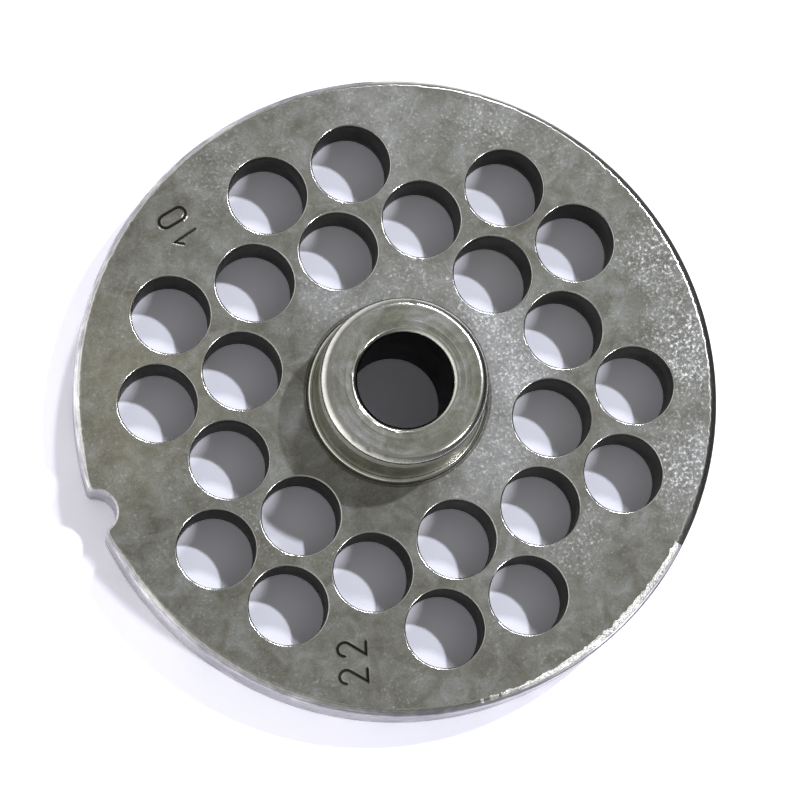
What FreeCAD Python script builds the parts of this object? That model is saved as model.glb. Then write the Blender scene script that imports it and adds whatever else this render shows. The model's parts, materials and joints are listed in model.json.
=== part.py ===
"""Meat grinder plate: a round steel plate with a turned hub, drilled with a field of meat holes.

One piece, in millimetres. The origin lies on the bore axis in the flat cutting face, +Z points
to the hub side, and the locating notch in the rim lies on -X.
"""
import FreeCAD, Part
import math
import os

# Plate
PLATE_DIAMETER = 82.0
PLATE_THICKNESS = 8.5
RIM_TOP_BREAK_WIDTH = 0.8
RIM_TOP_BREAK_HEIGHT = 0.7
RIM_FOOT_BREAK = 0.4

# Hub: a collar at the top, a narrower waist under it, a neck that flares to the foot,
# a low base ring and a turned relief groove in the plate around the ring
HUB_HEIGHT = 10.5
COLLAR_DIAMETER = 21.2
COLLAR_LENGTH = 3.6
COLLAR_TOP_BREAK = 0.75
WAIST_STEP = 0.25
WAIST_LEAD = 0.3
NECK_HOLLOW = 0.12
FOOT_DIAMETER = 22.0
BASE_RING_DIAMETER = 23.0
BASE_RING_HEIGHT = 1.0
BASE_RING_BREAK = 0.3
RELIEF_WIDTH = 0.5
RELIEF_DEPTH = 0.25

# Bore for the pin of the feed screw
BORE_DIAMETER = 12.0
BORE_TOP_BREAK = 0.55
BORE_FOOT_BREAK = 0.4

# Meat holes, on a triangular grid about the bore
MEAT_HOLE_DIAMETER = 10.0
MEAT_HOLE_PITCH = 11.5
MEAT_HOLE_BREAK = 0.15
HUB_WALL_MIN = 2.0
RIM_WALL_MIN = 4.0

# Locating notch in the rim
NOTCH_RADIUS = 2.75
NOTCH_DEPTH = 2.6
NOTCH_CORNER_RADIUS = 0.8
NOTCH_EDGE_BREAK = 0.2

# How far a cutter stands past the faces that it cuts
CUT_PAST = 1.0

AXIS_FOOT = FreeCAD.Vector(0, 0, 0)
UP = FreeCAD.Vector(0, 0, 1)


def point(radius, height):
    """A point of a turned profile, in the XZ plane."""
    return FreeCAD.Vector(radius, 0, height)


def chain(points):
    """Straight edges from each point to the next."""
    return [Part.makeLine(start, end) for start, end in zip(points, points[1:])]


def turn(edges):
    """The solid that a closed profile in the XZ plane sweeps about Z."""
    wire = Part.Wire(edges)
    return Part.Face(wire).revolve(AXIS_FOOT, UP, 360)


def turned_blank():
    """The plate, hub and bore as one turned solid."""
    rim = PLATE_DIAMETER / 2
    bore = BORE_DIAMETER / 2
    collar = COLLAR_DIAMETER / 2
    waist = collar - WAIST_STEP
    foot = FOOT_DIAMETER / 2
    ring = BASE_RING_DIAMETER / 2
    face = PLATE_THICKNESS
    ring_top = face + BASE_RING_HEIGHT
    top = face + HUB_HEIGHT
    collar_foot = top - COLLAR_LENGTH

    plate_side = chain([
        point(bore + BORE_FOOT_BREAK, 0),
        point(rim - RIM_FOOT_BREAK, 0),
        point(rim, RIM_FOOT_BREAK),
        point(rim, face - RIM_TOP_BREAK_HEIGHT),
        point(rim - RIM_TOP_BREAK_WIDTH, face),
        point(ring + RELIEF_WIDTH, face),
    ])
    # the relief slopes down to its deepest line against the side of the base ring
    base_ring = chain([
        point(ring + RELIEF_WIDTH, face),
        point(ring, face - RELIEF_DEPTH),
        point(ring, ring_top - BASE_RING_BREAK),
        point(ring - BASE_RING_BREAK, ring_top),
        point(foot, ring_top),
    ])
    # the neck flares from the waist to the foot along a shallow hollow curve
    waist_top = collar_foot - WAIST_LEAD
    neck = Part.Arc(
        point(foot, ring_top),
        point((foot + waist) / 2 - NECK_HOLLOW, (ring_top + waist_top) / 2),
        point(waist, waist_top),
    ).toShape()
    hub_top = chain([
        point(waist, waist_top),
        point(collar, collar_foot),
        point(collar, top - COLLAR_TOP_BREAK),
        point(collar - COLLAR_TOP_BREAK, top),
        point(bore + BORE_TOP_BREAK, top),
        point(bore, top - BORE_TOP_BREAK),
        point(bore, BORE_FOOT_BREAK),
        point(bore + BORE_FOOT_BREAK, 0),
    ])
    return turn(plate_side + base_ring + [neck] + hub_top)


def hole_centres():
    """Grid points whose holes leave a full wall to the hub and to the rim."""
    hole = MEAT_HOLE_DIAMETER / 2
    nearest = BASE_RING_DIAMETER / 2 + RELIEF_WIDTH + HUB_WALL_MIN + hole
    farthest = PLATE_DIAMETER / 2 - RIM_WALL_MIN - hole
    reach = math.ceil(farthest / MEAT_HOLE_PITCH) + 1
    row_step = MEAT_HOLE_PITCH * math.sqrt(3) / 2
    centres = []
    for row in range(-2 * reach, 2 * reach + 1):
        for column in range(-2 * reach, 2 * reach + 1):
            x = (column + row / 2) * MEAT_HOLE_PITCH
            y = row * row_step
            if nearest <= math.hypot(x, y) <= farthest:
                centres.append(FreeCAD.Vector(x, y, 0))
    return centres


def drill(radius, edge_break, centre):
    """A drill through the plate, with a cone that breaks the hole's edge on the hub side."""
    face = PLATE_THICKNESS
    cutter = turn(chain([
        point(0, -CUT_PAST),
        point(radius, -CUT_PAST),
        point(radius, face - edge_break),
        point(radius + edge_break + CUT_PAST, face + CUT_PAST),
        point(0, face + CUT_PAST),
        point(0, -CUT_PAST),
    ]))
    cutter.translate(centre)
    return cutter


def notch_centre():
    """Where the notch's own axis stands, just outside the rim on -X."""
    return FreeCAD.Vector(NOTCH_DEPTH - NOTCH_RADIUS - PLATE_DIAMETER / 2, 0, 0)


def notch_mouth_cutter():
    """A prism that rounds the two corners where the notch's hollow meets the rim."""
    rim = PLATE_DIAMETER / 2
    reach = -notch_centre().x
    # each corner circle touches the rim from inside and the notch circle from outside
    to_axis = rim - NOTCH_CORNER_RADIUS
    to_notch = NOTCH_RADIUS + NOTCH_CORNER_RADIUS
    corner_x = (to_axis ** 2 - to_notch ** 2 + reach ** 2) / (2 * reach)
    corner_y = math.sqrt(to_axis ** 2 - corner_x ** 2)
    touch_rim = math.atan2(corner_y, corner_x)
    touch_notch = math.atan2(corner_y, corner_x - reach) - math.pi
    outside = rim + CUT_PAST

    def flat(x, y):
        return FreeCAD.Vector(-x, y, -CUT_PAST)

    def on_corner(angle, side):
        return flat(corner_x + NOTCH_CORNER_RADIUS * math.cos(angle),
                    side * (corner_y + NOTCH_CORNER_RADIUS * math.sin(angle)))

    def past_rim(side):
        return flat(outside * math.cos(touch_rim), side * outside * math.sin(touch_rim))

    def corner_arc(side):
        halfway = (touch_rim + touch_notch) / 2
        ends = (on_corner(touch_rim, side), on_corner(touch_notch, side))
        return Part.Arc(ends[0], on_corner(halfway, side), ends[1]).toShape()

    deepest = flat(reach - NOTCH_RADIUS, 0)
    hollow = Part.Arc(on_corner(touch_notch, 1), deepest, on_corner(touch_notch, -1)).toShape()
    outline = Part.Wire([
        Part.makeLine(past_rim(1), on_corner(touch_rim, 1)),
        corner_arc(1),
        hollow,
        corner_arc(-1),
        Part.makeLine(on_corner(touch_rim, -1), past_rim(-1)),
        Part.makeLine(past_rim(-1), past_rim(1)),
    ])
    return Part.Face(outline).extrude(UP * (PLATE_THICKNESS + 2 * CUT_PAST))


def grinder_plate():
    """The finished plate."""
    meat_drills = [drill(MEAT_HOLE_DIAMETER / 2, MEAT_HOLE_BREAK, centre) for centre in hole_centres()]
    plate = turned_blank().cut(notch_mouth_cutter())
    plate = plate.cut(drill(NOTCH_RADIUS, NOTCH_EDGE_BREAK, notch_centre()))
    return plate.cut(Part.makeCompound(meat_drills)).Solids[0]


def main():
    """Writes the one piece of the plate."""
    os.makedirs("parts", exist_ok=True)
    plate = grinder_plate()
    plate.exportStep("parts/grinder_plate.step")
    box = plate.optimalBoundingBox()
    print(f"valid {plate.isValid()}, {len(plate.Faces)} faces, {len(hole_centres())} meat holes")
    print(f"{plate.Volume:.0f} cubic mm, {box.XLength:.2f} x {box.YLength:.2f} x {box.ZLength:.2f} mm")


main()
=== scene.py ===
"""Meat grinder plate: the finish of a turned, drilled and stamped steel plate on a pale floor.

Sizes are in millimetres and turn to metres where a mesh, a lamp or the camera is made. The origin
lies on the bore axis in the flat cutting face, +Z points to the hub side, and the locating notch in
the rim lies on -X. Angles are in degrees, anticlockwise from +X as the hub side is seen.
"""
import json
import logging
import math
from collections.abc import Callable, Iterable, Sequence
from dataclasses import dataclass, replace
from enum import Enum

import bmesh
import bpy
from mathutils import Matrix, Vector, geometry, noise


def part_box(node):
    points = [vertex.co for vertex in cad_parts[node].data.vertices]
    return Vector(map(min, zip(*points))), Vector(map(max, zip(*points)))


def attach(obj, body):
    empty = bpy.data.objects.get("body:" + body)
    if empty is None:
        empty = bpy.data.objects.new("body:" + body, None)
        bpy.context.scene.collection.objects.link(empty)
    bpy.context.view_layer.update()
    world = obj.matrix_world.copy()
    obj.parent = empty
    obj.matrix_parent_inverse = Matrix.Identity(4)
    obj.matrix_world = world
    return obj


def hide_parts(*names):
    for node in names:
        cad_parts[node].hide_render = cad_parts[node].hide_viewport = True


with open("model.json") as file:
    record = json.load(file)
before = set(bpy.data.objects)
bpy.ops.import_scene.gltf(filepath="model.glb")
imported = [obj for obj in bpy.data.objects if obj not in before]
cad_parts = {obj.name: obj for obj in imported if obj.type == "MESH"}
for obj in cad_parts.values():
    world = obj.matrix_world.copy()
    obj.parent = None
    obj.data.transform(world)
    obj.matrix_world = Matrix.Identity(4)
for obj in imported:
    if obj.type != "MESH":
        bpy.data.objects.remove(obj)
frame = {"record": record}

MM = 0.001
NODE = "grinder_plate"
log = logging.getLogger("grinder_plate")

SHARP_EDGE = 50.0  # degrees between two faces, past which their edge shows crisp

Point = tuple[float, float]
Place = tuple[float, float, float]
Socket = bpy.types.NodeSocket


def linear(hex_colour: str) -> tuple[float, float, float, float]:
    """Turns an sRGB hex colour to the linear values that a shader takes.

    Args:
        hex_colour: Six hex digits, such as "8a8b84".

    Returns:
        Linear red, green and blue, with an alpha of 1.
    """
    channels = [int(hex_colour[i:i + 2], 16) / 255 for i in (0, 2, 4)]
    red, green, blue = [c / 12.92 if c <= 0.04045 else ((c + 0.055) / 1.055) ** 2.4 for c in channels]
    return red, green, blue, 1.0


def heading(angle: float) -> Point:
    """The unit vector that points along an angle in degrees."""
    return math.cos(math.radians(angle)), math.sin(math.radians(angle))


def smooth_step(low: float, high: float, value: float) -> float:
    """Rises smoothly from 0 at low to 1 at high."""
    share = min(1.0, max(0.0, (value - low) / (high - low)))
    return share * share * (3 - 2 * share)


def turned_apart(angle: float, other: float) -> float:
    """How far two angles lie apart, from 0 to 180 degrees."""
    return abs((angle - other + 180) % 360 - 180)


def linked(name: str, data: bpy.types.ID) -> bpy.types.Object:
    """Makes an object of some data and links it to the scene."""
    made = bpy.data.objects.new(name, data)
    bpy.context.scene.collection.objects.link(made)
    return made


def ripple(x: float, y: float, z: float) -> float:
    """A smooth noise from about -1 to 1, the same in each run.

    Args:
        x: The place along the noise.
        y: Its second coordinate. Where a caller gives a plain number, it only picks a stretch of noise.
        z: Its third coordinate, likewise.

    Returns:
        The noise there.
    """
    return noise.noise(Vector((x, y, z)))


def chain(start: int, count: int, closed: bool = True) -> list[tuple[int, int]]:
    """The edges along a run of numbered vertices, and back to its first where it is closed."""
    return [(start + i, start + (i + 1) % count) for i in range(count if closed else count - 1)]


@dataclass(frozen=True)
class Stretch:
    """A stretch of a round outline that differs: its middle, how far it spreads and how much."""

    middle: float
    spread: float
    much: float

    def at(self, angle: float) -> float:
        """How much of the difference an angle has."""
        return self.much * math.exp(-(turned_apart(angle, self.middle) / self.spread) ** 2)


class Surface(Enum):
    """The finishes on the one piece, in the order of its material slots."""

    GROUND_FACE = 0
    CUTTING_FACE = 1
    TURNED_RIM = 2
    TURNED_HUB = 3
    FACED_TOP = 4
    DRILLED_HOLE = 5
    BORED_HOLE = 6
    STAMPED_GROOVE = 7
    WORN_EDGE = 8
    # thin dark lines of painted shade in the hub's corners
    PAINTED_CORNER_SHADE = 9
    FILED_EDGE = 10
    COLLAR_SIDE = 11


class EdgeWork(Enum):
    """What has last been done to an outline's edge."""

    TURNED = "turned"
    FILED = "filed"
    BURNISHED = "burnished"


@dataclass(frozen=True)
class Station:
    """A place on an outline, seen from above, with the side on which the steel lies.

    share is how much of an edge break's full width the outline has there, fall how steeply the
    break falls, and work what has last been done to it.
    """

    x: float
    y: float
    steel_x: float
    steel_y: float
    share: float = 1.0
    fall: float = 1.0
    work: EdgeWork = EdgeWork.TURNED

    def fray(self) -> float:
        """How a ragged edge wanders here: waves of about 0.6 mm with finer ones on them."""
        coarse, fine, fine_share = 1.7, 4.1, 0.6
        broad = ripple(self.x * coarse, self.y * coarse, 3.0)
        return broad + fine_share * ripple(self.x * fine, self.y * fine, 9.0)


@dataclass(frozen=True)
class Row:
    """One line along a wall: how far it is set into the steel, its height, and the skin above it.

    An inset and a drop both shrink with a station's share, and base_inset doesn't. filed and
    burnished are the skins where that is the outline's edge work.
    """

    inset: float
    z: float
    surface: Surface
    drop: float = 0.0
    base_inset: float = 0.0
    ragged: float = 0.0
    filed: Surface | None = None
    burnished: Surface | None = None

    def skin(self, work: EdgeWork) -> Surface:
        """The finish of the skin above the line where the edge has had that work."""
        special = {EdgeWork.FILED: self.filed, EdgeWork.BURNISHED: self.burnished}.get(work)
        return special or self.surface


def circle_stations(radius: float, count: int, centre: Point = (0.0, 0.0)) -> list[Station]:
    """The stations of a round opening, with the steel outside it.

    Args:
        radius: The circle's radius.
        count: How many stations it has.
        centre: Its centre.

    Returns:
        The stations, anticlockwise.
    """
    stations = []
    for i in range(count):
        dx, dy = heading(360 * i / count)
        stations.append(Station(centre[0] + radius * dx, centre[1] + radius * dy, dx, dy))
    return stations


class Fence:
    """A closed line of vertices seen from above, which can tell what lies inside it."""

    def __init__(self, loop: Sequence[bmesh.types.BMVert]) -> None:
        """Takes the line's corners, and the circles round its middle that bound them."""
        self.corners = [(v.co.x, v.co.y) for v in loop]
        count = len(self.corners)
        self.middle = (sum(x for x, _ in self.corners) / count, sum(y for _, y in self.corners) / count)
        reaches = [math.dist(self.middle, corner) for corner in self.corners]
        near_share = 0.9
        self.farthest, self.surely_inside = max(reaches), near_share * min(reaches)

    def holds(self, x: float, y: float) -> bool:
        """Says whether a place lies inside the line.

        Args:
            x: The place's X.
            y: The place's Y.

        Returns:
            True where it does.
        """
        away = math.dist(self.middle, (x, y))
        if away > self.farthest or away < self.surely_inside:
            return away < self.surely_inside
        inside = False
        for (x0, y0), (x1, y1) in zip(self.corners, self.corners[1:] + self.corners[:1]):
            if (y0 > y) != (y1 > y) and x < x0 + (x1 - x0) * (y - y0) / (y1 - y0):
                inside = not inside
        return inside


class SteelSkin:
    """Collects the faces of the one piece of steel, in millimetres."""

    def __init__(self) -> None:
        """Starts with no faces."""
        self.bm = bmesh.new()

    def ring(self, points: Iterable[Place]) -> list[bmesh.types.BMVert]:
        """Adds a closed line of vertices and returns them."""
        return [self.bm.verts.new(p) for p in points]

    def band(self, low: Sequence, high: Sequence, surfaces: Sequence[Surface]) -> None:
        """Skins the band between two closed lines of equal count, as smooth faces.

        Args:
            low: The vertices of one line.
            high: The vertices of the next line.
            surfaces: The finish of each face of the band.
        """
        count = len(low)
        for i, surface in enumerate(surfaces):
            j = (i + 1) % count
            face = self.bm.faces.new((low[i], low[j], high[j], high[i]))
            face.material_index = surface.value
            face.smooth = True

    def wall(self, stations: Sequence[Station], rows: Sequence[Row]) -> tuple[list, list]:
        """Skins a wall that follows an outline, from its first row to its last.

        Args:
            stations: The outline.
            rows: The lines along the wall, each with the finish of the skin that follows it.

        Returns:
            The vertices of the first line and of the last line.
        """
        lines = []
        for row in rows:
            points = []
            for s in stations:
                inset = row.base_inset + row.inset * s.share
                if row.ragged:
                    inset += row.ragged * s.share * s.fray()
                z = row.z - row.drop * s.share * s.fall
                points.append((s.x + s.steel_x * inset, s.y + s.steel_y * inset, z))
            lines.append(self.ring(points))
        for low, high, row in zip(lines, lines[1:], rows):
            self.band(low, high, [row.skin(s.work) for s in stations])
        return lines[0], lines[-1]

    def flat(self, loops: Sequence[Sequence], finish: Callable[[float, float], Surface],
             inner: Sequence["Crease"] = ()) -> None:
        """Fills a level face between closed lines of vertices, around the creases pressed into it.

        Args:
            loops: The line of vertices round the face, and the lines round its openings.
            finish: Says which finish a place has.
            inner: The creases in the face.
        """
        runs = [(loop, True) for loop in loops]
        runs += [(self.ring(line), closed) for crease in inner for line, closed in crease.lines()]
        corners, edges = [], []
        for run, closed in runs:
            edges += chain(len(corners), len(run), closed)
            corners += run
        plan = [Vector((v.co.x, v.co.y)) for v in corners]
        inside_only, nearest = 1, 1e-5
        found = geometry.delaunay_2d_cdt(plan, edges, [], inside_only, nearest, True)
        places, _, faces, origins, _, _ = found
        level = loops[0][0].co.z
        around, *openings = [Fence(loop) for loop in loops]
        made = []
        for place, sources in zip(places, origins):
            made.append(corners[sources[0]] if sources else self.bm.verts.new((place.x, place.y, level)))
        for triangle in faces:
            x = sum(places[i].x for i in triangle) / 3
            y = sum(places[i].y for i in triangle) / 3
            if not around.holds(x, y) or any(opening.holds(x, y) for opening in openings):
                continue
            face = self.bm.faces.new([made[i] for i in triangle])
            face.material_index = finish(x, y).value
            face.smooth = False

    def press(self, dents: Iterable["Dent"]) -> None:
        """Pushes the vertices near each dent inwards."""
        for dent in dents:
            centre, push = Vector(dent.centre), Vector(dent.push).normalized()
            for v in self.bm.verts:
                away = (v.co - centre).length / dent.radius
                if away < 1:
                    v.co += push * dent.depth * (1 - away * away) ** 2

    def piece(self, name: str, materials: Sequence[bpy.types.Material]) -> bpy.types.Object:
        """Turns the skin to an object in metres.

        Args:
            name: The object's name.
            materials: The finishes, in the order of Surface.

        Returns:
            The object, linked to the scene.
        """
        loose = [v for v in self.bm.verts if not v.link_faces]
        bmesh.ops.delete(self.bm, geom=loose, context="VERTS")
        bmesh.ops.recalc_face_normals(self.bm, faces=self.bm.faces)
        for edge in self.bm.edges:
            if len(edge.link_faces) == 2 and edge.calc_face_angle() > math.radians(SHARP_EDGE):
                edge.smooth = False
        self.bm.transform(Matrix.Scale(MM, 4))
        mesh = bpy.data.meshes.new(name)
        self.bm.to_mesh(mesh)
        self.bm.free()
        for material in materials:
            mesh.materials.append(material)
        return linked(name, mesh)


@dataclass(frozen=True)
class Dent:
    """A small knock in an edge."""

    centre: Place
    push: Place
    radius: float
    depth: float


@dataclass(frozen=True)
class Crease:
    """A V groove pressed along a centre line in a level face, with a low burr raised beside it."""

    centre: tuple[Point, ...]
    level: float
    half_width: float
    depth: float
    closed: bool = False
    burr_width: float = 0.0
    burr_height: float = 0.0
    end_share: float = 0.8
    longest_mitre: float = 1.5

    def away(self, x: float, y: float) -> float:
        """How far a place lies from the centre line."""
        here = Vector((x, y))
        points = [Vector(p) for p in self.centre]
        ends = points[1:] + points[:1] if self.closed else points[1:]
        nearest = math.inf
        for start, end in zip(points, ends):
            along = end - start
            share = max(0.0, min(1.0, (here - start).dot(along) / along.length_squared))
            nearest = min(nearest, (here - start - along * share).length)
        return nearest

    def offset(self, distance: float) -> list[Point]:
        """The centre line's places moved to its left, with mitred corners.

        Args:
            distance: How far to move them. A negative distance moves them to the right.

        Returns:
            One place for each place of the centre line.
        """
        points = [Vector(p) for p in self.centre]
        count = len(points)
        moved = []
        for i, here in enumerate(points):
            ways = []
            if i or self.closed:
                ways.append((here - points[i - 1]).normalized())
            if i < count - 1 or self.closed:
                ways.append((points[(i + 1) % count] - here).normalized())
            lefts = [Vector((-w.y, w.x)) for w in ways]
            mitre = sum(lefts, Vector((0, 0))).normalized()
            reach = 1 / max(1 / self.longest_mitre, mitre.dot(lefts[0]))
            moved.append(tuple(here + mitre * distance * reach))
        return moved

    def edge(self, distance: float) -> list[tuple[list[Point], bool]]:
        """The closed line or lines that run round the groove at a distance from its centre line."""
        left, right = self.offset(distance), self.offset(-distance)
        if self.closed:
            return [(left, True), (right, True)]
        first, last = Vector(self.centre[0]), Vector(self.centre[-1])
        start_way = (first - Vector(self.centre[1])).normalized() * distance * self.end_share
        end_way = (last - Vector(self.centre[-2])).normalized() * distance * self.end_share
        return [(left + [tuple(last + end_way)] + right[::-1] + [tuple(first + start_way)], True)]

    def lines(self) -> list[tuple[list[Place], bool]]:
        """Every line of the groove with its heights, and whether it is closed."""
        made = []
        for line, closed in self.edge(self.half_width):
            made.append(([(x, y, self.level + self.burr_height) for x, y in line], closed))
        if self.burr_width:
            for line, closed in self.edge(self.half_width + self.burr_width):
                made.append(([(x, y, self.level) for x, y in line], closed))
        made.append(([(x, y, self.level - self.depth) for x, y in self.centre], self.closed))
        return made


def arc_points(centre: Point, radii: Point, start: float, end: float, steps: int) -> list[Point]:
    """Places along an arc of an ellipse, ends included.

    Args:
        centre: The ellipse's centre.
        radii: Its two radii.
        start: The angle of the first place.
        end: The angle of the last place.
        steps: How many steps the arc has.

    Returns:
        The places.
    """
    places = []
    for i in range(steps + 1):
        dx, dy = heading(start + (end - start) * i / steps)
        places.append((centre[0] + radii[0] * dx, centre[1] + radii[1] * dy))
    return places


class Digit(Enum):
    """The centre lines of the numerals in shares of their height, and whether each is closed."""

    TWO = (tuple(arc_points((0.27, 0.74), (0.24, 0.25), 178, -32, 12) + [(0.06, 0.0), (0.52, 0.0)]), False)
    ONE = (((-0.24, 0.70), (0.0, 0.98), (0.0, 0.5), (0.0, 0.02)), False)
    ZERO = (tuple(arc_points((0.0, 0.76), (0.23, 0.24), 0, 180, 8)
                  + arc_points((0.0, 0.24), (0.23, 0.24), 180, 360, 8)), True)


@dataclass(frozen=True)
class PunchMark:
    """One numeral punched into the face by hand, so that each leans a little its own way."""

    digit: Digit
    foot: Point
    up_angle: float
    height: float = 3.7
    stroke: float = 0.19
    depth: float = 0.15
    burr_width: float = 0.16
    burr_height: float = 0.02

    def crease(self, level: float) -> Crease:
        """The numeral's groove in a face at that level."""
        line, closed = self.digit.value
        up, right = heading(self.up_angle), heading(self.up_angle - 90)
        centre = tuple((self.foot[0] + self.height * (x * right[0] + y * up[0]),
                        self.foot[1] + self.height * (x * right[1] + y * up[1])) for x, y in line)
        return Crease(centre, level, self.stroke, self.depth, closed, self.burr_width, self.burr_height)


@dataclass(frozen=True)
class Corner:
    """A corner of a turned profile: its radius and height, its rounding, and the finish that follows.

    step is how far apart the skin's lines lie after it. Where the outline is worn, worn_back moves
    the corner outwards and worn_down lowers it, by a station's share of each. The finish starts
    arc_share of the way along the rounding.
    """

    r: float
    z: float
    rounding: float
    surface: Surface
    step: float = 0.13
    worn_back: float = 0.0
    worn_down: float = 0.0
    arc_share: float = 0.5


@dataclass(frozen=True)
class TurnedProfile:
    """A lathe-cut profile: its corners are rounded, and a tool has left fine rings along it."""

    corners: tuple[Corner, ...]
    ring_depth: float = 0.007
    ring_pitch: float = 0.3
    arc_shares: tuple[float, ...] = (0.0, 0.25, 0.5, 0.75, 1.0)

    def rounded(self) -> list[Corner]:
        """The profile's places, with an arc of places at each rounded corner."""
        places = []
        last = len(self.corners) - 1
        for i, corner in enumerate(self.corners):
            if i in (0, last) or not corner.rounding:
                places.append(corner)
                continue
            here = Vector((corner.r, corner.z))
            before, after = self.corners[i - 1], self.corners[i + 1]
            back = Vector((before.r, before.z)) - here
            ahead = Vector((after.r, after.z)) - here
            roomy = 0.45
            reach = min(corner.rounding, roomy * back.length, roomy * ahead.length)
            enter, leave = here + back.normalized() * reach, here + ahead.normalized() * reach
            for share in self.arc_shares:
                curved = enter.lerp(here, share).lerp(here.lerp(leave, share), share)
                owner = corner if share >= corner.arc_share else before
                places.append(Corner(curved.x, curved.y, 0.0, owner.surface, owner.step))
        return places

    def rows(self) -> list[Row]:
        """The lines round the axis, with the long stretches divided for the tool's rings."""
        places = self.rounded()
        rows = []
        for start, end in zip(places, places[1:]):
            run = Vector((end.r - start.r, end.z - start.z))
            count = max(1, round(run.length / start.step))
            inwards = Vector((-run.y, run.x)).normalized()
            for k in range(count):
                place = Vector((start.r, start.z)) + run * k / count
                if count > 3 and k:
                    wave = noise.noise(Vector((*place, 5.0)) / self.ring_pitch)
                    place += inwards * self.ring_depth * (1 + wave)
                back, down = (0.0, 0.0) if k else (start.worn_back, start.worn_down)
                rows.append(Row(back, place.y, start.surface, down, base_inset=place.x))
        rows.append(Row(0.0, places[-1].z, places[-1].surface, base_inset=places[-1].r))
        return rows


@dataclass(frozen=True)
class Hub:
    """The turned hub with its collar, waist, flared neck, base ring and bore."""

    plate_thickness: float
    top: float
    bore_radius: float
    foot_break: float = 0.4
    collar_radius: float = 10.6
    collar_length: float = 3.6
    collar_break: float = 0.75
    waist_step: float = 0.25
    waist_lead: float = 0.3
    neck_hollow: float = 0.12
    neck_spans: int = 6
    neck_foot_radius: float = 11.0
    ring_radius: float = 11.5
    ring_height: float = 1.0
    relief_width: float = 0.5
    relief_depth: float = 0.16
    bore_break: float = 0.55
    mouth_lip: float = 0.012
    bore_wear: tuple[Stretch, ...] = (
        Stretch(204, 15, 1.0), Stretch(241, 5, 0.8), Stretch(124, 7, 0.9), Stretch(151, 4, 0.6),
    )
    # the angle, radius and depth of each knock on the collar's edge
    knocks: tuple[tuple[float, float, float], ...] = (
        (-152, 0.45, 0.14), (-139, 0.5, 0.16), (-125, 0.35, 0.1), (62, 0.4, 0.12),
    )
    stations: int = 216

    @property
    def relief_radius(self) -> float:
        """Where the relief round the hub meets the level face."""
        return self.ring_radius + self.relief_width

    def outline(self) -> list[Station]:
        """The stations round the hub's axis, with how far the bore's mouth is worn at each."""
        made = []
        for station in circle_stations(0.0, self.stations):
            angle = math.degrees(math.atan2(station.steel_y, station.steel_x))
            made.append(replace(station, share=sum(worn.at(angle) for worn in self.bore_wear)))
        return made

    def neck(self) -> list[Corner]:
        """The hollow flare from the base ring up to the waist."""
        low_z = self.plate_thickness + self.ring_height
        high_z = self.top - self.collar_length - self.waist_lead
        low_r, high_r = self.neck_foot_radius, self.collar_radius - self.waist_step
        made = []
        for i in range(1, self.neck_spans):
            share = i / self.neck_spans
            r = low_r + (high_r - low_r) * share - self.neck_hollow * 4 * share * (1 - share)
            made.append(Corner(r, low_z + (high_z - low_z) * share, 0.0, Surface.TURNED_HUB))
        made.append(Corner(high_r, high_z, 0.15, Surface.TURNED_HUB))
        return made

    def profile(self) -> TurnedProfile:
        """The whole turned profile, from the level face over the hub and down the bore."""
        face, top, bore = self.plate_thickness, self.top, self.bore_radius
        ring_top = face + self.ring_height
        collar_foot = top - self.collar_length
        hub, faced, bored = Surface.TURNED_HUB, Surface.FACED_TOP, Surface.BORED_HOLE
        worn, corner_shade = Surface.WORN_EDGE, Surface.PAINTED_CORNER_SHADE
        mouth, lip = bore + self.bore_break, top - self.mouth_lip
        # small offsets from the named sizes place the soft lines that show at each step, where the corners
        # carry painted shade
        corners = [
            Corner(self.relief_radius, face, 0.0, Surface.GROUND_FACE),
            Corner(self.ring_radius + 0.16, face - self.relief_depth, 0.1, corner_shade),
            Corner(self.ring_radius, face + 0.15, 0.1, hub),
            Corner(self.ring_radius, ring_top - 0.25, 0.2, worn),
            Corner(self.ring_radius - 0.28, ring_top, 0.15, worn),
            Corner(self.neck_foot_radius + 0.02, ring_top - 0.03, 0.05, corner_shade),
            Corner(self.neck_foot_radius - 0.06, ring_top + 0.15, 0.1, hub),
            *self.neck(),
            Corner(self.collar_radius - 0.04, collar_foot - 0.05, 0.08, corner_shade),
            Corner(self.collar_radius, collar_foot + 0.15, 0.1, Surface.COLLAR_SIDE),
            Corner(self.collar_radius, top - self.collar_break, 0.4, worn, arc_share=0.25),
            Corner(self.collar_radius - self.collar_break, top, 0.4, faced, arc_share=1.0),
            Corner(mouth + 0.9, top, 0.1, faced),
            Corner(mouth + 0.7, lip, 0.1, faced),
            Corner(mouth + 0.1, lip, 0.0, worn, worn_back=0.35),
            Corner(mouth - 0.03, top - 0.03, 0.0, worn, worn_down=0.08),
            Corner(bore + 0.5 * self.bore_break, top - 0.4 * self.bore_break, 0.1, worn, worn_down=0.04),
            Corner(bore, top - self.bore_break, 0.2, bored, step=0.6),
            Corner(bore, self.foot_break, 0.1, bored),
            Corner(bore + self.foot_break, 0.0, 0.0, Surface.CUTTING_FACE),
        ]
        return TurnedProfile(tuple(corners))

    def dents(self) -> list[Dent]:
        """The knocks on the collar's edge."""
        made = []
        reach = self.collar_radius - self.collar_break + 0.05
        for angle, radius, depth in self.knocks:
            dx, dy = heading(angle)
            made.append(Dent((reach * dx, reach * dy, self.top - 0.1), (-dx, -dy, -1), radius, depth))
        return made


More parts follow.
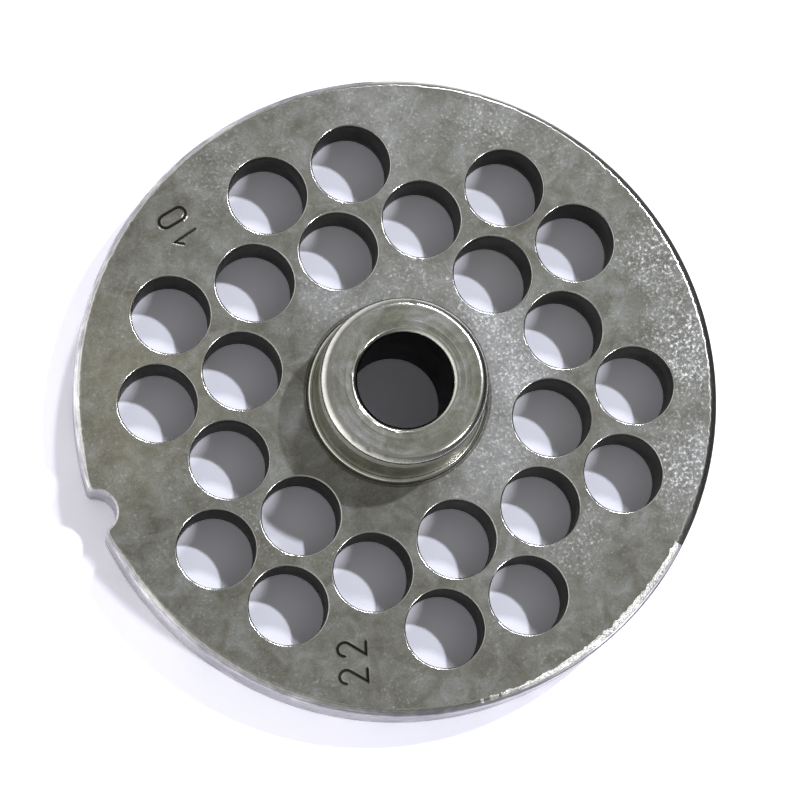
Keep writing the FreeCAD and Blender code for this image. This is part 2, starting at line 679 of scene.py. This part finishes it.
@dataclass(frozen=True)
class Rim:
    """The plate's round side with its locating notch and its hand-dressed edge."""

    radius: float
    thickness: float
    break_width: float = 0.8
    break_height: float = 0.7
    foot_break: float = 0.4
    notch_radius: float = 2.75
    notch_depth: float = 2.6
    notch_corner: float = 0.8
    notch_share: float = 0.3
    mouth_share: float = 0.55
    dressing: tuple[Stretch, ...] = (
        Stretch(-64, 20, 0.3), Stretch(-112, 24, 0.1), Stretch(-150, 20, 0.1), Stretch(50, 30, -0.3),
    )
    flattening: tuple[Stretch, ...] = (Stretch(-66, 26, -0.4), Stretch(0, 40, -0.45))
    filed_middle: float = -73.0
    filed_spread: float = 23.0
    filed_fray: float = 9.0
    burnished_middle: float = 10.0
    burnished_spread: float = 62.0
    mouth_ease: float = 7.0
    side_lines: int = 26
    ring_depth: float = 0.012
    ring_pitch: float = 0.45
    scribed_height: float = 0.56
    scribed_depth: float = 0.05
    scribed_width: float = 0.14
    stations: int = 620
    corner_steps: int = 12
    hollow_steps: int = 40

    def outline(self) -> list[Station]:
        """The outline with its notch on -X, anticlockwise from the notch's upper corner."""
        reach = self.radius - self.notch_depth + self.notch_radius
        to_axis = self.radius - self.notch_corner
        to_notch = self.notch_radius + self.notch_corner
        corner_x = (to_axis ** 2 - to_notch ** 2 + reach ** 2) / (2 * reach)
        corner_y = math.sqrt(to_axis ** 2 - corner_x ** 2)
        half_mouth = math.degrees(math.atan2(corner_y, corner_x))
        to_hollow = math.degrees(math.atan2(corner_y, corner_x - reach)) - 180
        made = []
        open_turn = 360 - 2 * half_mouth
        for i in range(self.stations):
            angle = half_mouth - 180 + open_turn * i / self.stations
            dx, dy = heading(angle)
            fall = self.dressed(angle, self.flattening)
            work = EdgeWork.TURNED
            fray = self.filed_fray * ripple(0.9 * angle, 4.0, 6.0)
            if turned_apart(angle, self.filed_middle) < self.filed_spread + fray:
                work = EdgeWork.FILED
            elif turned_apart(angle, self.burnished_middle) < self.burnished_spread:
                work = EdgeWork.BURNISHED
            share = self.share(angle, half_mouth)
            made.append(Station(self.radius * dx, self.radius * dy, -dx, -dy, share, fall, work))

        def corner(side: int, angle: float, share: float) -> Station:
            """A station on a rounded corner of the notch."""
            dx, dy = heading(angle)
            x = -(corner_x + self.notch_corner * dx)
            y = side * (corner_y + self.notch_corner * dy)
            return Station(x, y, dx, -side * dy, share)

        steps = self.corner_steps
        turn_back = [half_mouth + (to_hollow - half_mouth) * i / steps for i in range(steps)]
        shares = [self.mouth_share + (self.notch_share - self.mouth_share) * i / steps for i in range(steps)]
        made += [corner(1, a, s) for a, s in zip(turn_back, shares)]
        first = to_hollow + 180
        for i in range(self.hollow_steps + 1):
            dx, dy = heading(first + (360 - 2 * first) * i / self.hollow_steps)
            x, y = -(reach + self.notch_radius * dx), self.notch_radius * dy
            made.append(Station(x, y, -dx, dy, self.notch_share))
        made += [corner(-1, a, s) for a, s in reversed(list(zip(turn_back, shares)))][:-1]
        return made

    def dressed(self, angle: float, changes: Iterable[Stretch]) -> float:
        """The share of the plain edge's measure that the hand-dressed edge has at an angle."""
        return 1.0 + sum(change.at(angle) for change in changes)

    def share(self, angle: float, half_mouth: float) -> float:
        """How wide the hand-dressed edge is at an angle, beside its full width.

        Args:
            angle: Where on the rim.
            half_mouth: Half the angle that the notch's mouth takes, beside which the edge narrows.

        Returns:
            The share of the full width.
        """
        wide = self.dressed(angle, self.dressing)
        ease = smooth_step(half_mouth, half_mouth + self.mouth_ease, turned_apart(angle, 180))
        return self.mouth_share + (wide - self.mouth_share) * ease

    def rows(self) -> list[Row]:
        """The lines round the rim, from the level face down to the cutting face."""
        width, height, top = self.break_width, self.break_height, self.thickness
        rim, worn, filed = Surface.TURNED_RIM, Surface.WORN_EDGE, Surface.FILED_EDGE
        # shares of the break's width and height, how ragged, and the turned and the dressed finish
        edge = (
            (1.16, 0.0, 0.22, worn, filed), (1.05, 0.012, 0.2, worn, filed), (0.95, 0.05, 0.16, worn, filed),
            (0.84, 0.12, 0.12, worn, filed), (0.7, 0.24, 0.07, rim, filed), (0.54, 0.38, 0.04, rim, filed),
            (0.40, 0.50, 0.0, rim, rim), (0.37, 0.56, 0.0, rim, rim), (0.30, 0.60, 0.0, rim, rim),
            (0.17, 0.74, 0.0, rim, rim), (0.05, 0.90, 0.0, rim, rim),
        )
        rows = [Row(a * width, top, turned, b * height, ragged=rag, filed=dressed, burnished=worn)
                for a, b, rag, turned, dressed in edge]
        # the last lines round the break off into the side, where the tool has left its rings
        rows.append(Row(0.0, top, rim, 1.02 * height))
        low, high = self.foot_break, top - 1.1 * height
        for i in range(1, self.side_lines):
            z = high + (low - high) * i / self.side_lines
            cut = self.ring_depth * (1 + ripple(z / self.ring_pitch, 2.0, 7.0))
            from_line = (z - self.scribed_height * top) / self.scribed_width
            cut += self.scribed_depth * math.exp(-from_line ** 2)
            rows.append(Row(0.0, z, rim, base_inset=cut))
        rows.append(Row(0.0, low, rim))
        rows.append(Row(0.12 * self.foot_break, 0.35 * low, rim))
        rows.append(Row(0.0, 0.0, Surface.CUTTING_FACE, base_inset=self.foot_break))
        return rows


@dataclass(frozen=True)
class MeatHoles:
    """The drilled holes on a triangular grid about the bore."""

    thickness: float
    radius: float
    pitch: float
    nearest: float
    farthest: float
    edge_break: float = 0.17
    foot_break: float = 0.06
    chatter: float = 0.02
    stations: int = 88

    def centres(self) -> list[Point]:
        """The grid places that keep a full wall to the hub and to the rim."""
        reach = math.ceil(self.farthest / self.pitch) + 1
        made = []
        for row in range(-2 * reach, 2 * reach + 1):
            for column in range(-2 * reach, 2 * reach + 1):
                x, y = (column + row / 2) * self.pitch, row * self.pitch * math.sqrt(3) / 2
                if self.nearest <= math.hypot(x, y) <= self.farthest:
                    made.append((x, y))
        return made

    def rows(self) -> list[Row]:
        """The lines round a hole, from the level face down to the cutting face."""
        top, size = self.thickness, self.edge_break
        worn, drilled = Surface.WORN_EDGE, Surface.DRILLED_HOLE
        edge = ((1.25, 0.0, 0.3), (0.95, 0.06, 0.15), (0.55, 0.25, 0.0), (0.25, 0.55, 0.0), (0.05, 0.95, 0.0))
        rows = [Row(a * size, top, worn, b * size, ragged=rag * size) for a, b, rag in edge]
        rows[-1] = Row(edge[-1][0] * size, top, drilled, edge[-1][1] * size)
        for share in (0.2, 0.45, 0.7, 0.9):
            cut = self.chatter * ripple(share * 9, 1.0, 4.0)
            rows.append(Row(0.0, top * (1 - share), drilled, base_inset=cut))
        rows.append(Row(0.0, self.foot_break, drilled))
        rows.append(Row(0.0, 0.0, Surface.CUTTING_FACE, base_inset=self.foot_break))
        return rows


@dataclass(frozen=True)
class NodeGraph:
    """A material's or a world's node tree, with one way to add to it."""

    tree: bpy.types.NodeTree

    def add(self, kind: str, settings: dict | None = None, **inputs: object) -> bpy.types.Node:
        """Adds a node with its settings and links.

        Args:
            kind: The node's type, such as "ShaderNodeTexNoise".
            settings: Properties of the node, such as {"operation": "MULTIPLY"}.
            **inputs: Values or output sockets by input name, with spaces as underscores, or by
                number after a leading "i", such as i0.

        Returns:
            The node.
        """
        node = self.tree.nodes.new(kind)
        for name, value in (settings or {}).items():
            setattr(node, name, value)
        for name, value in inputs.items():
            key = int(name[1:]) if name[0] == "i" and name[1:].isdigit() else name.replace("_", " ")
            socket = node.inputs[key]
            if isinstance(value, bpy.types.NodeSocket):
                self.tree.links.new(value, socket)
            else:
                socket.default_value = value
        return node

    def calc(self, operation: str, *values: object) -> Socket:
        """Adds a maths node on some values and gives its result."""
        inputs = {f"i{n}": value for n, value in enumerate(values)}
        return self.add("ShaderNodeMath", {"operation": operation}, **inputs).outputs[0]

    def vector(self, operation: str, output: str, **inputs: object) -> Socket:
        """Adds a vector maths node and gives the output of that name."""
        return self.add("ShaderNodeVectorMath", {"operation": operation}, **inputs).outputs[output]

    def grain(self, where: Socket, size: float, detail: float, **inputs: object) -> Socket:
        """Adds noise whose coarsest waves have a size in millimetres."""
        scale = 1 / (size * MM)
        return self.add("ShaderNodeTexNoise", Vector=where, Scale=scale, Detail=detail, **inputs).outputs[0]

    def span(self, value: Socket, low: float, high: float, to_low: float = 0.0,
             to_high: float = 1.0) -> Socket:
        """Maps a value from one range to another, and holds it within that."""
        return self.add("ShaderNodeMapRange", Value=value, From_Min=low, From_Max=high,
                        To_Min=to_low, To_Max=to_high).outputs[0]

    def bump(self, height: Socket, depth: float, **inputs: object) -> Socket:
        """Adds relief of a depth in millimetres and gives the normal."""
        distance = depth * MM
        return self.add("ShaderNodeBump", Height=height, Strength=1.0, Distance=distance, **inputs).outputs[0]

    def tint(self, share: Socket, under: Socket, colour: str) -> Socket:
        """Covers a colour with another by a share."""
        over = linear(colour)
        return self.add("ShaderNodeMix", {"data_type": "RGBA"}, i0=share, i6=under, i7=over).outputs[2]

    def either(self, share: Socket, one: object, other: object) -> Socket:
        """Goes from one number to another by a share."""
        return self.add("ShaderNodeMix", {"data_type": "FLOAT"}, i0=share, i2=one, i3=other).outputs[0]


def fresh_graph(owner: bpy.types.Material | bpy.types.World) -> NodeGraph:
    """Turns on the nodes of a material or a world and empties them."""
    owner.use_nodes = True
    owner.node_tree.nodes.clear()
    return NodeGraph(owner.node_tree)


class Lay(Enum):
    """Which way the marks of the last tool run."""

    ROUND = "round"
    EVEN = "even"


@dataclass(frozen=True)
class RubbedAndPaintedLightArea:
    """A part of the face that use has changed.

    torn is how many more grains are torn bright there, and clean how far the surface has
    gone to tone: bare steel where the film is rubbed off, or a warmer colour where oil has dried on it.
    Round the hub the lighter tone is painted light: on the hub's right it stands in for the glare that the
    hub throws onto the face, and on its left it lifts the hub's shadow.
    """

    x: float
    y: float
    reach: float
    torn: float
    clean: float
    tone: str = "c4c5c8"


@dataclass(frozen=True)
class SteelFinish:
    """Plain carbon steel as one tool left it, and as use has dulled or rubbed it.

    Colours are sRGB hex, and sizes are millimetres. The mottle is the uneven film of oil and
    handling, the streaks are the tool's marks, and the pits are where the grain has torn out. Grain
    and sparkle are drawn coarser than on real ground steel, at 0.2 to 0.4 mm, so that they show at
    the photograph's distance. Rubbed areas, and the painted light round the hub, lie at face_height.
    """

    name: str
    dark: str
    middle: str
    light: str
    roughness: float
    roughness_spread: float
    lay: Lay = Lay.ROUND
    mottle_size: float = 6.0
    cloudiness: float = 0.8
    grain_tone: float = 0.22
    streak_size: float = 0.25
    streak_depth: float = 0.006
    streak_tone: float = 0.2
    grain_size: float = 0.22
    grain_depth: float = 0.01
    sparkle: float = 0.0
    sparkle_size: float = 0.42
    # areas of wear, and of painted light round the hub
    rubbed_and_painted_light: tuple[RubbedAndPaintedLightArea, ...] = ()
    face_height: float = 8.5
    cloud_spread: float = 3.4
    streak_squeeze: float = 0.0035
    tone_reach: float = 0.3
    gloss_reach: float = 0.35
    patch_size: float = 5.0
    fleck_depth: float = 0.08
    fleck_roughness: float = 0.4
    torn_bright: str = "f4f4f0"
    pit_dark: str = "2e2e2a"

    def place(self, graph: NodeGraph) -> tuple[Socket, Socket]:
        """The place on the steel in metres, and the place stretched along the tool's marks."""
        where = graph.add("ShaderNodeTexCoord").outputs["Object"]
        if self.lay is Lay.EVEN:
            return where, where
        parts = graph.add("ShaderNodeSeparateXYZ", Vector=where).outputs
        flat = graph.add("ShaderNodeCombineXYZ", X=parts["X"], Y=parts["Y"]).outputs[0]
        radius = graph.vector("LENGTH", "Value", i0=flat)
        spoke = graph.vector("NORMALIZE", "Vector", i0=flat)
        short = graph.vector("SCALE", "Vector", i0=spoke, Scale=self.streak_squeeze)
        level = graph.add("ShaderNodeCombineXYZ", Z=parts["Z"]).outputs[0]
        summed = graph.vector("ADD", "Vector", i0=short, i1=level)
        # the radius is added to the height, so that a level face and a wall both get rings
        outward = (0.0, 0.0, 1.7)
        return where, graph.vector("MULTIPLY_ADD", "Vector", i0=radius, i1=outward, i2=summed)

    def build(self) -> bpy.types.Material:
        """Makes the material."""
        material = bpy.data.materials.new(self.name)
        graph = fresh_graph(material)
        where, along = self.place(graph)
        mottle = graph.grain(where, self.mottle_size, 5.0, Roughness=0.62, Distortion=0.6)
        cloud = graph.grain(where, self.cloud_spread * self.mottle_size, 2.0)
        grain = graph.grain(where, self.grain_size, 3.0, Roughness=0.6)
        streak = graph.grain(along, self.streak_size, 4.0, Roughness=0.7)
        blend = graph.calc("MULTIPLY_ADD", cloud, self.cloudiness, mottle)
        toned = graph.calc("MULTIPLY_ADD", streak, self.streak_tone, blend)
        fine = graph.calc("MULTIPLY_ADD", grain, self.grain_tone, toned)
        middle = 0.5 * (1 + self.cloudiness + self.streak_tone + self.grain_tone)
        ramp = graph.span(fine, middle - self.tone_reach, middle + self.tone_reach)
        colour = graph.add("ShaderNodeValToRGB", Fac=ramp)
        stops = colour.color_ramp.elements
        stops[0].color, stops[1].color = linear(self.dark), linear(self.light)
        stops.new(0.5).color = linear(self.middle)
        tint = colour.outputs[0]
        dull, bright = self.roughness + self.roughness_spread, self.roughness - self.roughness_spread
        roughness = graph.span(fine, middle - self.gloss_reach, middle + self.gloss_reach, dull, bright)
        normal = graph.bump(streak, self.streak_depth, Normal=graph.bump(grain, self.grain_depth))
        if self.sparkle:
            tint, roughness, normal = self.torn_grain(graph, where, tint, roughness, normal)
        shader = graph.add("ShaderNodeBsdfPrincipled", Base_Color=tint, Roughness=roughness, Normal=normal,
                           Metallic=1.0)
        graph.add("ShaderNodeOutputMaterial", Surface=shader.outputs[0])
        return material

    def torn_grain(self, graph: NodeGraph, where: Socket, tint: Socket, roughness: Socket,
                   normal: Socket) -> tuple[Socket, Socket, Socket]:
        """Adds the bright torn grains and the dark pits, the areas that use has rubbed, and the painted light
        round the hub.

        Args:
            graph: The material's nodes.
            where: The place on the steel.
            tint: The colour so far.
            roughness: The roughness so far.
            normal: The normal so far.

        Returns:
            The colour, roughness and normal with the grains.
        """
        flecks = graph.grain(where, self.sparkle_size, 3.0, Roughness=0.75)
        patch = graph.grain(where, self.patch_size, 3.0, Roughness=0.7)
        much = graph.span(patch, 0.35, 0.75, 0.5 * self.sparkle, 2.0 * self.sparkle)
        for area in self.rubbed_and_painted_light:
            middle = (area.x * MM, area.y * MM, self.face_height * MM)
            away = graph.vector("DISTANCE", "Value", i0=where, i1=middle)
            near = graph.add("ShaderNodeMapRange", {"interpolation_type": "SMOOTHSTEP"}, Value=away,
                             From_Min=0.0, From_Max=area.reach * MM, To_Min=1.0, To_Max=0.0).outputs[0]
            much = graph.calc("MULTIPLY_ADD", near, area.torn, much)
            # round the hub this lighter tone is painted light: glare on the hub's right, a lifted shadow on
            # its left
            tint = graph.tint(graph.calc("MULTIPLY", near, area.clean), tint, area.tone)
        swing = graph.calc("MULTIPLY", graph.calc("SUBTRACT", flecks, 0.5), much)
        # a rise of the noise soon shows bright, and a fall darkens more slowly
        spot = graph.span(swing, 0.02, 0.26)
        pit = graph.span(swing, 0.0, -0.5)
        tint = graph.tint(pit, graph.tint(spot, tint, self.torn_bright), self.pit_dark)
        roughness = graph.either(spot, roughness, self.fleck_roughness)
        return tint, roughness, graph.bump(swing, self.fleck_depth, Normal=normal)


# the lighter tone of the areas round the hub is painted light: those on its right stand in for the glare that
# the hub throws onto the face, and the one at -12.5, 2 lifts the hub's shadow
FACE_WEAR_AND_PAINTED_LIGHT = (
    RubbedAndPaintedLightArea(39.0, 4.5, 9.0, 0.8, 0.12), RubbedAndPaintedLightArea(37.5, -8.0, 9.5, 1.0, 0.22),
    RubbedAndPaintedLightArea(32.0, -22.5, 10.0, 0.8, 0.25), RubbedAndPaintedLightArea(26.0, 28.0, 12.0, 0.3, 0.1),
    RubbedAndPaintedLightArea(9.8, 32.7, 14.0, 0.15, 0.15), RubbedAndPaintedLightArea(-10.0, 34.0, 8.0, 0.3, 0.08),
    RubbedAndPaintedLightArea(14.5, 5.0, 8.0, 0.6, 0.3), RubbedAndPaintedLightArea(15.2, -4.5, 8.0, 0.6, 0.4),
    RubbedAndPaintedLightArea(9.7, -12.1, 8.0, 0.4, 0.3), RubbedAndPaintedLightArea(13.3, 10.5, 6.0, 0.3, 0.3),
    RubbedAndPaintedLightArea(-4.0, 14.5, 9.0, 0.25, 0.2), RubbedAndPaintedLightArea(2.0, -16.5, 6.0, 0.2, 0.25),
    RubbedAndPaintedLightArea(6.3, 13.5, 6.5, 0.3, 0.12), RubbedAndPaintedLightArea(-12.5, 2.0, 4.5, 0.1, 0.35),
    RubbedAndPaintedLightArea(14.0, 2.0, 5.0, 0.0, 0.2), RubbedAndPaintedLightArea(14.0, -25.5, 8.0, 0.4, 0.15),
    RubbedAndPaintedLightArea(-23.0, -9.0, 5.0, 0.3, 0.0), RubbedAndPaintedLightArea(-31.5, 14.0, 19.0, 0.0, 0.18, "a39c7c"),
    RubbedAndPaintedLightArea(-36.5, 3.0, 9.0, 0.05, 0.1, "a39c7c"),
)


def finishes() -> list[SteelFinish]:
    """The steel's finishes, in the order of Surface."""
    return [
        # ground steel under a thin film of oil: dull, cloudy grey green, with torn grains that glint, and
        # painted light round the hub
        SteelFinish("surface_ground_steel", "5e5c51", "73726a", "858783", 0.62, 0.06, Lay.EVEN,
                    mottle_size=2.6, cloudiness=0.4, grain_tone=0.42, sparkle=0.19, rubbed_and_painted_light=FACE_WEAR_AND_PAINTED_LIGHT),
        # the face the knife runs on: even, pale and rather smooth, with faint round marks
        SteelFinish("lapped_cutting_face", "85857e", "a2a29c", "bdbdb8", 0.34, 0.06,
                    streak_tone=0.35),
        # the turned side: a cool grey with strong round streaks, which mirrors the dark of the room
        SteelFinish("turned_rim_steel", "807f85", "a6a4a6", "d3d1d1", 0.38, 0.06, streak_tone=1.0),
        # the hub's neck and base ring: warm pale steel, with streaks that run light and dark round it
        SteelFinish("turned_hub_steel", "a09e90", "d0cdbc", "f0eee4", 0.3, 0.05, streak_tone=0.9),
        # the hub's faced top: a dark olive grey with cloudy stains and faint rings
        SteelFinish("faced_hub_top_steel", "4e4f43", "6b6b60", "8b8a88", 0.44, 0.06, mottle_size=3.0,
                    cloudiness=0.9, streak_tone=0.25),
        # the drilled walls: dark and dull, so that each hole reads as deep
        SteelFinish("drilled_hole_steel", "26261f", "34342e", "4a4a44", 0.5, 0.08, streak_tone=0.4),
        # the bore's wall: almost black, painted shade for the deep, narrow bore
        SteelFinish("bored_hole_steel", "030303", "060606", "0c0c0b", 0.55, 0.08, streak_tone=0.4),
        # the grooves of the numerals: dull and darker than the face
        SteelFinish("punched_groove_steel", "34332a", "47463b", "64635a", 0.6, 0.08, Lay.EVEN),
        # edges that use has burnished: sharp thin flashes at the lamps, and black at the dark horizon
        SteelFinish("worn_bright_edge", "a3a29a", "bab9b1", "dad9d3", 0.19, 0.05, streak_tone=0.4),
        # the corners at the hub's foot and waist: thin soft dark lines of painted shade
        SteelFinish("greasy_corner_line", "3c3c33", "4e4e44", "66665c", 0.5, 0.06, streak_tone=0.4),
        # the rim where a file has dressed it: pale and fresh, broken up by bright and dark specks
        SteelFinish("filed_rim_edge", "a5a49d", "c3c2bb", "e4e3de", 0.34, 0.06, streak_tone=0.5,
                    sparkle=1.0, sparkle_size=0.34),
        # the collar's side: a soft satin cream band, too rough to mirror the dark
        SteelFinish("turned_collar_side", "a3a194", "bfbdaf", "dad8ca", 0.58, 0.06, streak_tone=0.6),
    ]


@dataclass(frozen=True)
class GrinderPlate:
    """The whole plate: a level hub side, a flat cutting face, and the hub, rim and holes between."""

    radius: float
    height: float
    thickness: float
    bore_radius: float
    hole_radius: float = 5.0
    hole_pitch: float = 11.5
    hub_wall: float = 2.0
    rim_wall: float = 4.0
    # 22 is the plate's common size, and 10 the holes' diameter
    marks: tuple[PunchMark, ...] = (
        PunchMark(Digit.TWO, (-17.37, -32.72), 162.0, height=3.6),
        PunchMark(Digit.TWO, (-16.31, -29.48), 161.0, height=3.65),
        PunchMark(Digit.ONE, (-15.92, 29.18), 193.0, height=3.4),
        PunchMark(Digit.ZERO, (-16.39, 31.86), 190.0),
    )
    # where the numerals' burrs shine, with pale filed steel as a painted glint: x, y and reach
    shining_burrs: tuple[tuple[float, float, float], ...] = (
        (-16.95, 31.1, 0.6), (-20.3, 30.6, 0.5), (-19.4, 27.6, 0.9),
        (-19.0, -29.5, 0.45), (-16.0, -30.9, 0.55), (-18.45, -31.8, 0.4),
    )

    def build(self) -> bpy.types.Object:
        """Makes the plate as one piece of steel."""
        skin = SteelSkin()
        hub = Hub(self.thickness, self.height, self.bore_radius)
        rim = Rim(self.radius, self.thickness)
        nearest = hub.relief_radius + self.hub_wall + self.hole_radius
        farthest = self.radius - self.rim_wall - self.hole_radius
        holes = MeatHoles(self.thickness, self.hole_radius, self.hole_pitch, nearest, farthest)
        centres = holes.centres()
        rim_top, rim_foot = skin.wall(rim.outline(), rim.rows())
        hub_top, hub_foot = skin.wall(hub.outline(), hub.profile().rows())
        top_loops, foot_loops = [rim_top, hub_top], [rim_foot, hub_foot]
        for centre in centres:
            top, foot = skin.wall(circle_stations(self.hole_radius, holes.stations, centre), holes.rows())
            top_loops.append(top)
            foot_loops.append(foot)
        creases = [mark.crease(self.thickness) for mark in self.marks]

        def finish(x: float, y: float) -> Surface:
            """The finish of a place on the hub side."""
            for crease in creases:
                away = crease.away(x, y)
                if away < crease.half_width:
                    return Surface.STAMPED_GROOVE
                burr_foot = crease.half_width + crease.burr_width + 0.02
                # pale filed steel on these burr spots is a painted glint
                if away < burr_foot and self.shines(x, y):
                    return Surface.FILED_EDGE
            return Surface.GROUND_FACE

        skin.flat(top_loops, finish, creases)
        skin.flat(foot_loops, lambda x, y: Surface.CUTTING_FACE)
        skin.press(hub.dents())
        log.info("%d meat holes", len(centres))
        return skin.piece("ground_plate_with_hub", [f.build() for f in finishes()])

    def shines(self, x: float, y: float) -> bool:
        """Says whether a place lies where a numeral's burr is bright."""
        return any(math.dist((x, y), (u, v)) < reach for u, v, reach in self.shining_burrs)


@dataclass(frozen=True)
class Lamp:
    """A soft lamp that stands off from the plate's middle.

    level is the light that it gives a level white surface, where 1 shows it as white, and spread is
    how wide the lamp looks from the plate, in degrees.
    """

    name: str
    angle: float
    elevation: float
    spread: float
    level: float
    colour: str
    distance: float = 3000.0

    def build(self) -> None:
        """Makes the lamp, aimed at the plate's middle."""
        flat = math.cos(math.radians(self.elevation))
        lift = math.sin(math.radians(self.elevation))
        dx, dy = heading(self.angle)
        place = Vector((dx * flat, dy * flat, lift)) * self.distance
        data = bpy.data.lights.new(self.name, "AREA")
        data.shape = "DISK"
        data.size = self.distance * math.radians(self.spread) * MM
        data.color = linear(self.colour)[:3]
        data.energy = self.level * math.pi ** 2 * (self.distance * MM) ** 2 / lift
        lamp = linked(self.name, data)
        lamp.location = place * MM
        lamp.rotation_mode = "QUATERNION"
        lamp.rotation_quaternion = (-place).to_track_quat("-Z", "Y")


@dataclass(frozen=True)
class RoomGlow:
    """A wide soft part of the room's light, stronger towards one side.

    side_share is how much stronger it is there, and power how fast it fades away from straight
    overhead, or away from the horizon where low is true. shade takes light from straight overhead,
    where the camera hangs.
    """

    level: float
    side: float
    side_share: float
    power: float
    low: bool = False
    shade: float = 0.0

    def add_to(self, graph: NodeGraph, way: Socket, lift: Socket) -> Socket:
        """Adds the glow's nodes.

        Args:
            graph: The world's nodes.
            way: The direction that a ray goes.
            lift: The sine of its elevation.

        Returns:
            The light from that direction.
        """
        overhead = 16.0  # how closely the shade gathers round straight overhead
        height = graph.calc("SUBTRACT", 1.0, lift) if self.low else lift
        fade = graph.calc("POWER", height, self.power)
        side = graph.vector("DOT_PRODUCT", "Value", i0=way, i1=(*heading(self.side), 0.0))
        squared = graph.calc("POWER", graph.calc("MULTIPLY_ADD", side, self.side_share, 1.0), 2.0)
        shaded = graph.calc("MULTIPLY_ADD", graph.calc("POWER", lift, overhead), -self.shade, 1.0)
        lit = graph.calc("MULTIPLY", squared, shaded)
        return graph.calc("MULTIPLY", fade, graph.calc("MULTIPLY", lit, self.level))


@dataclass(frozen=True)
class Studio:
    """The pale floor and the plain light round the plate.

    floor_tone is what the camera and the steel see of the floor, and bounce_tone what it throws back
    as light.
    """

    floor_half: float = 100.0
    floor_tone: tuple[float, float, float] = (1.45, 1.44, 1.56)
    bounce_tone: float = 0.8
    glows: tuple[RoomGlow, ...] = (
        RoomGlow(0.8, -55.0, 0.3, 7.0, shade=0.6),
        RoomGlow(0.7, 163.0, 0.75, 1.0, low=True),
    )
    lamps: tuple[Lamp, ...] = (
        Lamp("key_lamp", 18.7, 57.5, 2.1, 0.355, "f2f6ff"),
        Lamp("side_lamp", -55.3, 43.0, 6.0, 0.24, "f7f8ff"),
        Lamp("top_lamp", 48.7, 49.3, 5.0, 0.22, "f7f8ff"),
    )

    def floor(self) -> bpy.types.Object:
        """The level floor that the plate rests on, which keeps the plate's shadow."""
        mesh = bpy.data.meshes.new("studio_floor")
        half = self.floor_half * MM
        corners = [(-half, -half, 0), (half, -half, 0), (half, half, 0), (-half, half, 0)]
        mesh.from_pydata(corners, [], [(0, 1, 2, 3)])
        material = bpy.data.materials.new("pale_paper_sweep")
        graph = fresh_graph(material)
        path = graph.add("ShaderNodeLightPath").outputs
        seen = graph.calc("MAXIMUM", path["Is Camera Ray"], path["Is Glossy Ray"])
        seen = graph.calc("MAXIMUM", seen, path["Is Transmission Ray"])
        plain = graph.add("ShaderNodeBsdfDiffuse", Color=(*[self.bounce_tone] * 3, 1.0))
        shown = graph.add("ShaderNodeBsdfDiffuse", Color=(*self.floor_tone, 1.0))
        mixed = graph.add("ShaderNodeMixShader", i0=seen, i1=plain.outputs[0], i2=shown.outputs[0])
        graph.add("ShaderNodeOutputMaterial", Surface=mixed.outputs[0])
        mesh.materials.append(material)
        return linked("studio_floor", mesh)

    def sky(self) -> None:
        """The light of the room, which the camera sees as plain white."""
        world = bpy.data.worlds.new("studio_room")
        bpy.context.scene.world = world
        graph = fresh_graph(world)
        way = graph.add("ShaderNodeTexCoord").outputs["Generated"]
        lift = graph.add("ShaderNodeSeparateXYZ", Vector=way).outputs["Z"]
        lift = graph.add("ShaderNodeClamp", Value=lift).outputs[0]
        level = 0.0
        for glow in self.glows:
            level = graph.calc("ADD", glow.add_to(graph, way, lift), level)
        seen = graph.add("ShaderNodeLightPath").outputs["Is Camera Ray"]
        shown = graph.either(seen, level, 1.0)
        back = graph.add("ShaderNodeBackground", Color=(1.0, 1.0, 1.0, 1.0), Strength=shown)
        graph.add("ShaderNodeOutputWorld", Surface=back.outputs[0])

    def build(self) -> None:
        """Sets up the floor, the room and the three lamps."""
        self.floor()
        self.sky()
        for lamp in self.lamps:
            lamp.build()
        bpy.context.scene.view_settings.view_transform = "Standard"


@dataclass(frozen=True)
class ViewPoint:
    """The camera's place, what it looks at and how it is turned, taken from the photograph.

    focal is the focal length in pixels of a frame that is frame_side pixels wide.
    """

    place: tuple[float, float, float] = (-77.3, -63.9, 511.3)
    target: tuple[float, float, float] = (-0.03, -0.82, 8.5)
    right_angle: float = -21.32
    focal: float = 4041.0
    frame_side: int = 800
    sensor: float = 36.0

    def build(self) -> None:
        """Makes the camera and sets it for the scene."""
        back = (Vector(self.place) - Vector(self.target)).normalized()
        level_right = Vector((*heading(self.right_angle), 0.0))
        right = (level_right - back * level_right.dot(back)).normalized()
        up = back.cross(right)
        data = bpy.data.cameras.new("photo_view")
        data.sensor_width = self.sensor
        data.lens = self.focal / self.frame_side * self.sensor
        data.clip_start, data.clip_end = 0.01, 20.0
        camera = linked("photo_view", data)
        turn = Matrix((right, up, back)).transposed().to_4x4()
        camera.matrix_world = Matrix.Translation(Vector(self.place) * MM) @ turn
        bpy.context.scene.camera = camera


def main() -> None:
    """Builds the plate and its studio."""
    logging.basicConfig(level=logging.INFO, format="%(name)s: %(message)s")
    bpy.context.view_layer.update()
    _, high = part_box(NODE)
    mounts = {mount["name"]: mount for mount in frame["record"]["mounts"]}
    thickness = mounts["hub_side_face"]["pos_m"][2] / MM
    bore_radius = mounts["center_bore"]["dims"]["r_mm"]
    plate = GrinderPlate(high.x / MM, high.z / MM, thickness, bore_radius).build()
    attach(plate, "root")
    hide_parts(NODE)
    log.info("%s: %d faces", plate.name, len(plate.data.polygons))
    Studio().build()
    ViewPoint().build()


if __name__ == "__main__":
    main()
